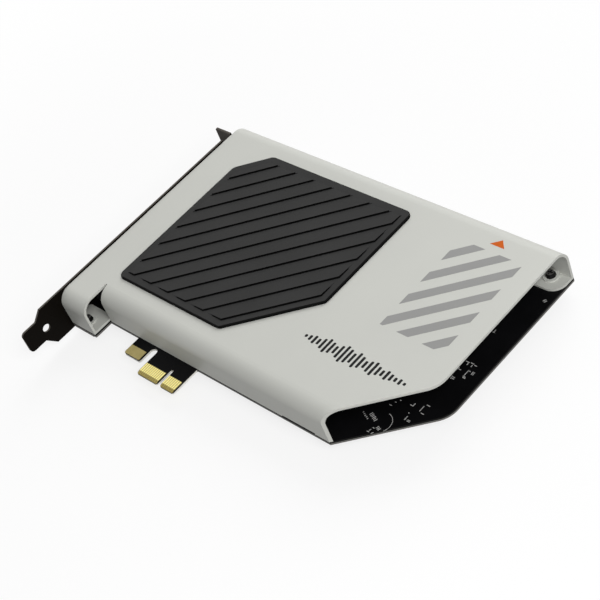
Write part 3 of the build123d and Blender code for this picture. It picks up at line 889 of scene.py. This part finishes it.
@dataclass
class CoverPrint:
    """Print on the cover: slanted grey bars, an orange pointer and a row of level marks.

    The heights of the level marks are in millimetres.
    """

    film: float = 0.03 * MM
    bar_low: Pair = plan(126.72, 53.97)
    bar_high: Pair = plan(154.92, 98.86)
    bar_count: int = 6
    bar_first: Pair = plan(126.72, 92.82)
    bar_step: float = 11.62 * MM
    bar_depth: float = 5.28 * MM
    pointer_base: tuple[Pair, Pair] = (plan(137.68, 101.87), plan(144.07, 101.87))
    pointer_tip: Pair = plan(141.05, 105.20)
    level_start: Pair = plan(105.73, 37.42)
    level_pitch: float = 2.0 * MM
    level_width: float = 1.1 * MM
    level_rounding: float = 0.33 * MM
    level_heights: tuple[float, ...] = (
        1.2, 2.2, 3.6, 2.6, 4.6, 6.4, 5.0, 3.4, 5.6, 7.6, 6.2, 4.4,
        6.8, 5.2, 3.2, 4.8, 6.0, 3.8, 2.6, 4.0, 2.8, 1.8, 2.4, 1.2,
    )

    def film_slab(self, name: str, low: Pair, high: Pair) -> Piece:
        """Lay a rectangle of ink on the cover.

        Args:
            name: the piece's name.
            low: its lowest corner in plan.
            high: its highest corner in plan.

        Returns:
            The film.
        """
        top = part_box("cover_shroud")[1][2]
        return Bench.slab(name, (*low, top - self.film), (*high, top + self.film))

    def bars(self) -> None:
        """Print the bars: each is the whole rectangle, cut along two slanted sides."""
        up_left = (-1.0, 1.0, 0.0)
        down_right = (1.0, -1.0, 0.0)
        x, first_y = self.bar_first
        for number in range(self.bar_count):
            upper = first_y - number * self.bar_step
            bar = self.film_slab(f"cover_bar_{number + 1}", self.bar_low, self.bar_high)
            Bench.cut(bar, (x, upper, 0.0), up_left)
            Bench.cut(bar, (x, upper - self.bar_depth, 0.0), down_right)
            Bench.settle(bar, GREY_INK, Slot.COVER)

    def pointer(self) -> None:
        """Print the pointer: a rectangle cut along the two sides that meet at its tip."""
        left, right = self.pointer_base
        tip = self.pointer_tip
        piece = self.film_slab("cover_pointer", left, (right[0], tip[1]))
        Bench.cut(piece, (*left, 0.0), (left[1] - tip[1], tip[0] - left[0], 0.0))
        Bench.cut(piece, (*right, 0.0), (tip[1] - right[1], right[0] - tip[0], 0.0))
        Bench.settle(piece, ORANGE_INK, Slot.COVER)

    def level_row(self) -> None:
        """Print a plain row of level marks of several heights."""
        start_x, middle_y = self.level_start
        marks = []
        for number, height in enumerate(self.level_heights):
            left = start_x + number * self.level_pitch
            half = height * MM / 2
            low = (left, middle_y - half)
            high = (left + self.level_width, middle_y + half)
            mark = self.film_slab(f"level_mark_{number + 1}", low, high)
            Bench.round_corners(mark, self.level_rounding)
            marks.append(mark)
        Bench.settle(Bench.join("cover_level_row", marks), BLACK_INK, Slot.COVER)

    def build(self) -> None:
        """Print everything on the cover."""
        self.bars()
        self.pointer()
        self.level_row()


@dataclass
class BoardMarks:
    """White print on the component side: short strokes and part of a ring beside the open end.

    A stroke has its middle from the board's corner and its length in millimetres, and its turn in degrees.
    """

    film: float = 0.02 * MM
    stroke_width: float = 0.28 * MM
    stroke_rounding: float = 0.098 * MM
    ring_middle: Pair = plan(143.74, 28.53)
    ring_radius: float = 4.27 * MM
    ring_start: float = 85.0
    ring_sweep: float = 121.0
    ring_steps: int = 16
    ring_width: float = 0.17 * MM
    ring_corners: int = 4
    strokes: tuple[tuple[float, float, float, float], ...] = (
        (152.78, 39.98, 2.6, 90), (154.03, 42.12, 1.4, 0), (154.33, 38.43, 1.4, 0),
        (150.53, 34.23, 1.8, 90), (152.13, 33.93, 1.2, 0), (152.13, 33.43, 1.2, 0),
        (149.99, 36.43, 0.5, 0), (148.74, 39.43, 1.5, 0), (149.33, 40.12, 1.2, 90),
        (142.03, 35.93, 1.2, 0), (142.83, 37.83, 0.6, 0), (143.83, 39.23, 0.7, 0),
        (135.53, 28.93, 0.6, 68), (136.33, 28.53, 0.6, 68), (137.13, 28.13, 0.6, 68),
        (137.93, 27.83, 0.6, 68), (138.73, 27.43, 0.6, 68), (138.43, 29.73, 1.4, 68),
        (139.13, 29.43, 1.5, 68), (139.73, 29.23, 1.3, 68), (140.43, 28.93, 1.5, 68),
        (141.03, 28.63, 1.2, 68), (141.73, 28.33, 1.5, 68), (142.63, 23.33, 1.0, 0),
        (142.83, 24.23, 0.9, 68), (143.33, 25.43, 0.8, 0), (144.33, 23.53, 1.0, 68),
        (144.33, 26.33, 1.3, 68), (144.93, 26.03, 1.2, 68), (145.53, 25.93, 1.3, 68),
        (153.74, 63.83, 1.6, 0), (155.74, 64.03, 1.6, 0), (157.33, 63.73, 1.0, 0),
        (154.33, 63.03, 1.0, 90), (156.13, 63.03, 1.0, 90), (156.44, 59.62, 2.4, 90),
        (156.94, 60.83, 1.0, 0), (158.33, 60.62, 1.4, 90), (158.94, 60.62, 1.4, 90),
        (156.83, 58.03, 1.2, 0), (157.03, 57.53, 1.2, 0), (153.63, 56.12, 1.4, 0),
        (153.74, 55.43, 1.4, 0), (153.03, 55.73, 1.4, 90), (152.73, 60.03, 1.0, 90),
        (153.53, 59.83, 0.8, 0), (153.43, 79.53, 1.0, 90), (153.33, 78.73, 0.9, 0),
        (160.23, 98.83, 1.4, 60), (160.93, 98.53, 1.2, 60),
    )

    def build(self) -> None:
        """Print the strokes and the ring."""
        top = BOARD_HIGH[2]
        pieces = [self.ring()]
        half = self.stroke_width / 2
        for number, (along, across, length, turn) in enumerate(self.strokes):
            x, y = plan(along, across)
            reach = length * MM / 2
            low = (x - reach, y - half, top - self.film)
            high = (x + reach, y + half, top + self.film)
            stroke = Bench.slab(f"board_stroke_{number + 1}", low, high, turn)
            Bench.round_corners(stroke, self.stroke_rounding)
            pieces.append(stroke)
        Bench.settle(Bench.join("board_marks", pieces), WHITE_INK, Slot.BOARD)

    def ring(self) -> Piece:
        """Spin a small standing face round into part of a ring.

        Returns:
            The ring.
        """
        Bench.clear()
        x, y = self.ring_middle
        top = BOARD_HIGH[2]
        start = math.radians(self.ring_start)
        place = (x + self.ring_radius * math.cos(start), y + self.ring_radius * math.sin(start), top)
        bpy.ops.mesh.primitive_plane_add(size=1.0, location=place, rotation=(math.pi / 2, 0.0, start))
        piece = Bench.place("board_ring", (self.ring_width, 2 * self.film, 1.0))
        Bench.open(piece)
        sweep = math.radians(self.ring_sweep)
        bpy.ops.mesh.spin(steps=self.ring_steps, angle=sweep, center=(x, y, top), axis=(0.0, 0.0, 1.0))
        bpy.ops.mesh.select_all(action="SELECT")
        bpy.ops.mesh.remove_doubles(threshold=SAME_POINT)
        bpy.ops.mesh.fill_holes(sides=self.ring_corners)
        Bench.face_out(piece)
        return piece


@dataclass
class CanMarks:
    """Dark polarity marks on the tops of the capacitor cans."""

    film: float = 0.02 * MM
    reach: float = 0.82
    sides: int = 32
    cut_place: float = 0.3

    def build(self) -> None:
        """Cut one disc of ink down to a segment and copy it to every can."""
        cans = boxes_of("_can")
        middles = [middle_of(can)[:2] for can in cans]
        low, high = cans[0]
        radius = self.reach * (high[0] - low[0]) / 2
        x, y = middles[0]
        mark = Bench.disc("can_mark", (x, y, high[2]), radius, 2 * self.film, self.sides)
        Bench.cut(mark, (x - self.cut_place * radius, y, high[2]), (1.0, 0.0, 0.0))
        Bench.settle(Bench.repeat("can_marks", mark, middles), BLACK_INK, Slot.CAN)


@dataclass(frozen=True)
class LaneGroup:
    """Tracks side by side from the edge contacts to a chip.

    The first lane runs straight for the rise, and its slanted part shifts it sideways.
    """

    chip: str
    start: Pair
    count: int
    rise: float
    shift: float


@dataclass
class SolderSide:
    """Solder on the socket terminals, and the tracks and vias under the mask round it.

    A joint's step has its height in millimetres and the share of its width that is left. Leans and the
    half bend are in degrees.
    """

    joint_radius: float = 0.95 * MM
    joint_collar: float = 0.06 * MM
    joint_steps: tuple[Pair, ...] = ((0.10, 0.86), (0.16, 0.80), (0.26, 0.84), (0.22, 0.72))
    joint_sides: int = 16
    terminal_half: float = 0.6 * MM
    track_width: float = 0.45 * MM
    track_film: float = 0.06 * MM
    half_bend: float = 22.5
    lane_pitch: float = 1.0 * MM
    lane_lean: float = 157.5
    lane_end: float = plan(0.0, 46.0)[1]
    lane_groups: tuple[LaneGroup, ...] = (
        LaneGroup("processor", plan(58.45, 5.8), 7, 9.0 * MM, 20.0 * MM),
        LaneGroup("converter", plan(51.45, 5.8), 5, 22.0 * MM, 7.0 * MM),
    )
    terminal_lean: float = 90.0
    terminal_runs: tuple[float, float, float] = (4.0 * MM, 2.4 * MM, 5.0 * MM)
    via_radius: float = 0.42 * MM
    via_film: float = 0.04 * MM
    via_rim: float = 0.22 * MM
    via_sides: int = 14
    stitch_first: Pair = plan(30.0, 104.0)
    stitch_pitch: float = 10.0 * MM
    stitch_count: int = 13

    def build(self) -> None:
        """Make the solder, the tracks and the vias."""
        self.joints()
        ends = self.terminal_tracks()
        for group in self.lane_groups:
            ends += self.lanes(group)
        x, y = self.stitch_first
        ends += [(x + number * self.stitch_pitch, y) for number in range(self.stitch_count)]
        self.vias(ends)

    def terminal_rows(self) -> list[list[Pair]]:
        """Find the terminals of the sockets.

        Returns:
            The three terminal places of every socket, in plan.
        """
        rows = []
        for low, high in boxes_of("_terminals"):
            x, y, _ = middle_of((low, high))
            spread = (high[1] - low[1]) / 2 - self.terminal_half
            rows.append([(x, y + side * spread) for side in (-1, 0, 1)])
        return rows

    def terminal_tracks(self) -> list[Pair]:
        """Draw the three tracks of one socket's terminals together and copy them to the others.

        Returns:
            The ends of all the tracks, in plan.
        """
        rows = self.terminal_rows()
        first, slant, last = self.terminal_runs
        tracks = []
        ends = []
        for (x, y), side in zip(rows[0], (1, 0, -1)):
            runs = [(first, 0.0, 0.0), (slant, side * slant, 0.0), (last, 0.0, 0.0)]
            lean = self.terminal_lean + side * self.half_bend
            start = (x, y, BOARD_LOW[2])
            track = Bench.ribbon(f"terminal_track_{side + 2}", start, lean, self.track_width, runs)
            Bench.thicken(track, self.track_film)
            tracks.append(track)
            ends.append((x + first + slant + last, y + side * slant))
        places = [row[0] for row in rows]
        joined = Bench.repeat("terminal_tracks", Bench.join("terminal_tracks", tracks), places)
        Bench.settle(joined, TRACK_MASK, Slot.BOARD)
        first_y = places[0][1]
        return [(x, y + (place_y - first_y)) for _, place_y in places for x, y in ends]

    def lanes(self, group: LaneGroup) -> list[Pair]:
        """Draw the tracks of one group, bent so that they stay evenly apart.

        Args:
            group: the group to draw.

        Returns:
            The ends of the lanes, in plan.
        """
        first_x, y = group.start
        lanes = []
        ends = []
        for number in range(group.count):
            x = first_x + number * self.lane_pitch
            lower = group.rise - number * self.lane_pitch * math.tan(math.radians(self.half_bend))
            upper = self.lane_end - y - lower - group.shift
            runs = [(0.0, lower, 0.0), (group.shift, group.shift, 0.0), (0.0, upper, 0.0)]
            name = f"{group.chip}_lane_{number + 1}"
            lane = Bench.ribbon(name, (x, y, BOARD_LOW[2]), self.lane_lean, self.track_width, runs)
            Bench.thicken(lane, self.track_film)
            lanes.append(lane)
            ends.append((x + group.shift, self.lane_end))
        Bench.settle(Bench.join(f"{group.chip}_lanes", lanes), TRACK_MASK, Slot.BOARD)
        return ends

    def vias(self, places: list[Pair]) -> None:
        """Make a dimpled via and copy it to its places.

        Args:
            places: the places in plan.
        """
        middle = (*places[0], BOARD_LOW[2])
        via = Bench.disc("solder_side_via", middle, self.via_radius, 2 * self.via_film, self.via_sides)
        Bench.choose(via, Part.FACE, faces_down)
        bpy.ops.mesh.inset(thickness=self.via_rim)
        bpy.ops.transform.translate(value=(0.0, 0.0, self.via_film))
        Bench.clear()
        Bench.settle(Bench.repeat("solder_side_vias", via, places), TRACK_MASK, Slot.BOARD)

    def joints(self) -> None:
        """Make a flared solder joint and copy it to every terminal."""
        places = [place for row in self.terminal_rows() for place in row]
        foot = (*places[0], BOARD_LOW[2])
        joint = Bench.disc("solder_joint", foot, self.joint_radius, self.joint_collar, self.joint_sides)
        Bench.choose(joint, Part.FACE, faces_down)
        Bench.extrude([(-rise * MM, narrow) for rise, narrow in self.joint_steps], foot)
        joints = Bench.repeat("terminal_solder", joint, places)
        Bench.settle(joints, FINISHES[Slot.LEAD], Slot.LEAD, smooth=True)


@dataclass(frozen=True)
class Lamp:
    """Soft square lamp: its name, its place, its power in watts and its width."""

    name: str
    place: Point
    power: float
    width: float

    def hang(self) -> None:
        """Set the lamp at its place, pointing at the card."""
        Bench.clear()
        bpy.ops.object.light_add(type="AREA", location=self.place)
        lamp = bpy.context.object
        lamp.name = self.name
        lamp.data.energy = self.power
        lamp.data.size = self.width
        lamp.rotation_euler = lamp.location.to_track_quat("Z", "Y").to_euler()
        lamp.visible_camera = False


@dataclass
class Studio:
    """Floor, light and camera of the picture."""

    floor_size: float = 6.0
    floor_gap: float = 0.2 * MM
    floor_glow: float = 0.78
    floor_shown: Colour = (0.22, 0.22, 0.22)
    floor_thrown: Colour = (0.14, 0.14, 0.14)
    floor_fade: Pair = (0.12, 0.34)
    ambient: float = 0.22
    lamps: tuple[Lamp, ...] = (
        Lamp("key_light", (-0.35, 1.2, 0.9), 13.7, 1.1),
        Lamp("open_end_light", (1.5, -0.22, 1.42), 25.5, 1.05),
        Lamp("front_wall_light", (0.30, -0.24, 0.06), 0.28, 0.12),
    )
    camera_place: Point = (*plan(443.635, -154.475), 0.3938)
    camera_turn: Point = (44.895796, 17.292551, 43.326242)
    lens: float = 93.148
    film_width: float = 36.0

    @staticmethod
    def link(tree: bpy.types.NodeTree, kind: str, *sources: Socket) -> bpy.types.Node:
        """Add a node and link its inputs, in their order.

        Args:
            tree: the node tree to add to.
            kind: the node's type name.
            sources: the outputs that its first inputs are linked to.

        Returns:
            The new node.
        """
        made = tree.nodes.new(kind)
        for socket, source in zip(made.inputs, sources):
            tree.links.new(source, socket)
        return made

    def seen(self, tree: bpy.types.NodeTree) -> Socket:
        """Add what tells rays that see the set from rays that light it.

        Args:
            tree: the node tree to add to.

        Returns:
            A socket that is 1 for camera, glossy and transmitted rays.
        """
        path = tree.nodes.new("ShaderNodeLightPath")
        share = path.outputs["Is Camera Ray"]
        for name in ("Is Glossy Ray", "Is Transmission Ray"):
            most = self.link(tree, "ShaderNodeMath", share, path.outputs[name])
            most.operation = "MAXIMUM"
            share = most.outputs[0]
        return share

    def far(self, tree: bpy.types.NodeTree) -> Socket:
        """Add what tells how far a place on the floor lies from the card.

        Args:
            tree: the node tree to add to.

        Returns:
            A socket that goes from 0 near the card to 1 away from it.
        """
        place = tree.nodes.new("ShaderNodeTexCoord").outputs["Object"]
        distance = self.link(tree, "ShaderNodeVectorMath", place)
        distance.operation = "LENGTH"
        fade = self.link(tree, "ShaderNodeMapRange", distance.outputs["Value"])
        fade.interpolation_type = "SMOOTHSTEP"
        for name, limit in zip(("From Min", "From Max"), self.floor_fade):
            fade.inputs[name].default_value = limit
        return fade.outputs[0]

    def floor(self) -> None:
        """Lay the floor: white to look at, with the card's shadow, and dim in the light that it throws."""
        Bench.clear()
        bpy.ops.mesh.primitive_plane_add(size=self.floor_size, location=(0.0, 0.0, -self.floor_gap))
        piece = Bench.place("studio_floor")
        material = bpy.data.materials.new("studio_floor")
        material.use_nodes = True
        tree = material.node_tree
        tree.nodes.remove(tree.nodes["Principled BSDF"])
        shown = self.link(tree, "ShaderNodeBsdfDiffuse")
        shown.inputs["Color"].default_value = (*self.floor_shown, 1.0)
        glow = self.link(tree, "ShaderNodeEmission")
        glow.inputs["Strength"].default_value = self.floor_glow
        near = self.link(tree, "ShaderNodeAddShader", shown.outputs[0], glow.outputs[0])
        white = self.link(tree, "ShaderNodeEmission")
        faded = self.link(tree, "ShaderNodeMixShader", self.far(tree), near.outputs[0], white.outputs[0])
        thrown = self.link(tree, "ShaderNodeBsdfDiffuse")
        thrown.inputs["Color"].default_value = (*self.floor_thrown, 1.0)
        rays = self.seen(tree)
        choice = self.link(tree, "ShaderNodeMixShader", rays, thrown.outputs[0], faded.outputs[0])
        tree.links.new(choice.outputs[0], tree.nodes["Material Output"].inputs["Surface"])
        piece.data.materials.append(material)

    def light(self) -> None:
        """Set the lamps behind the card, at its open end and before its front wall, and a dim surround."""
        for lamp in self.lamps:
            lamp.hang()
        world = bpy.data.worlds.new("studio_surround")
        world.use_nodes = True
        bpy.context.scene.world = world
        tree = world.node_tree
        strength = self.link(tree, "ShaderNodeMapRange", self.seen(tree))
        strength.inputs["To Min"].default_value = self.ambient
        strength.inputs["To Max"].default_value = 1.0
        background = tree.nodes["Background"]
        tree.links.new(strength.outputs[0], background.inputs["Strength"])
        background.inputs["Color"].default_value = WHITE

    def camera(self) -> None:
        """Set the camera at the picture's viewing angle."""
        Bench.clear()
        turn = Euler([math.radians(a) for a in self.camera_turn])
        bpy.ops.object.camera_add(location=self.camera_place, rotation=turn)
        camera = bpy.context.object
        camera.data.sensor_width = self.film_width
        camera.data.lens = self.lens
        bpy.context.scene.camera = camera

    def build(self) -> None:
        """Set up the whole studio."""
        self.floor()
        self.light()
        self.camera()
        bpy.context.scene.view_settings.view_transform = "Standard"


def main() -> None:
    """Dress the card, add what is printed and soldered on it, and set up the studio."""
    logging.basicConfig(level=logging.INFO, format="%(name)s %(message)s")
    PackedCard().dress()
    CoverPrint().build()
    BoardMarks().build()
    CanMarks().build()
    SolderSide().build()
    Studio().build()


if __name__ == "__main__":
    main()
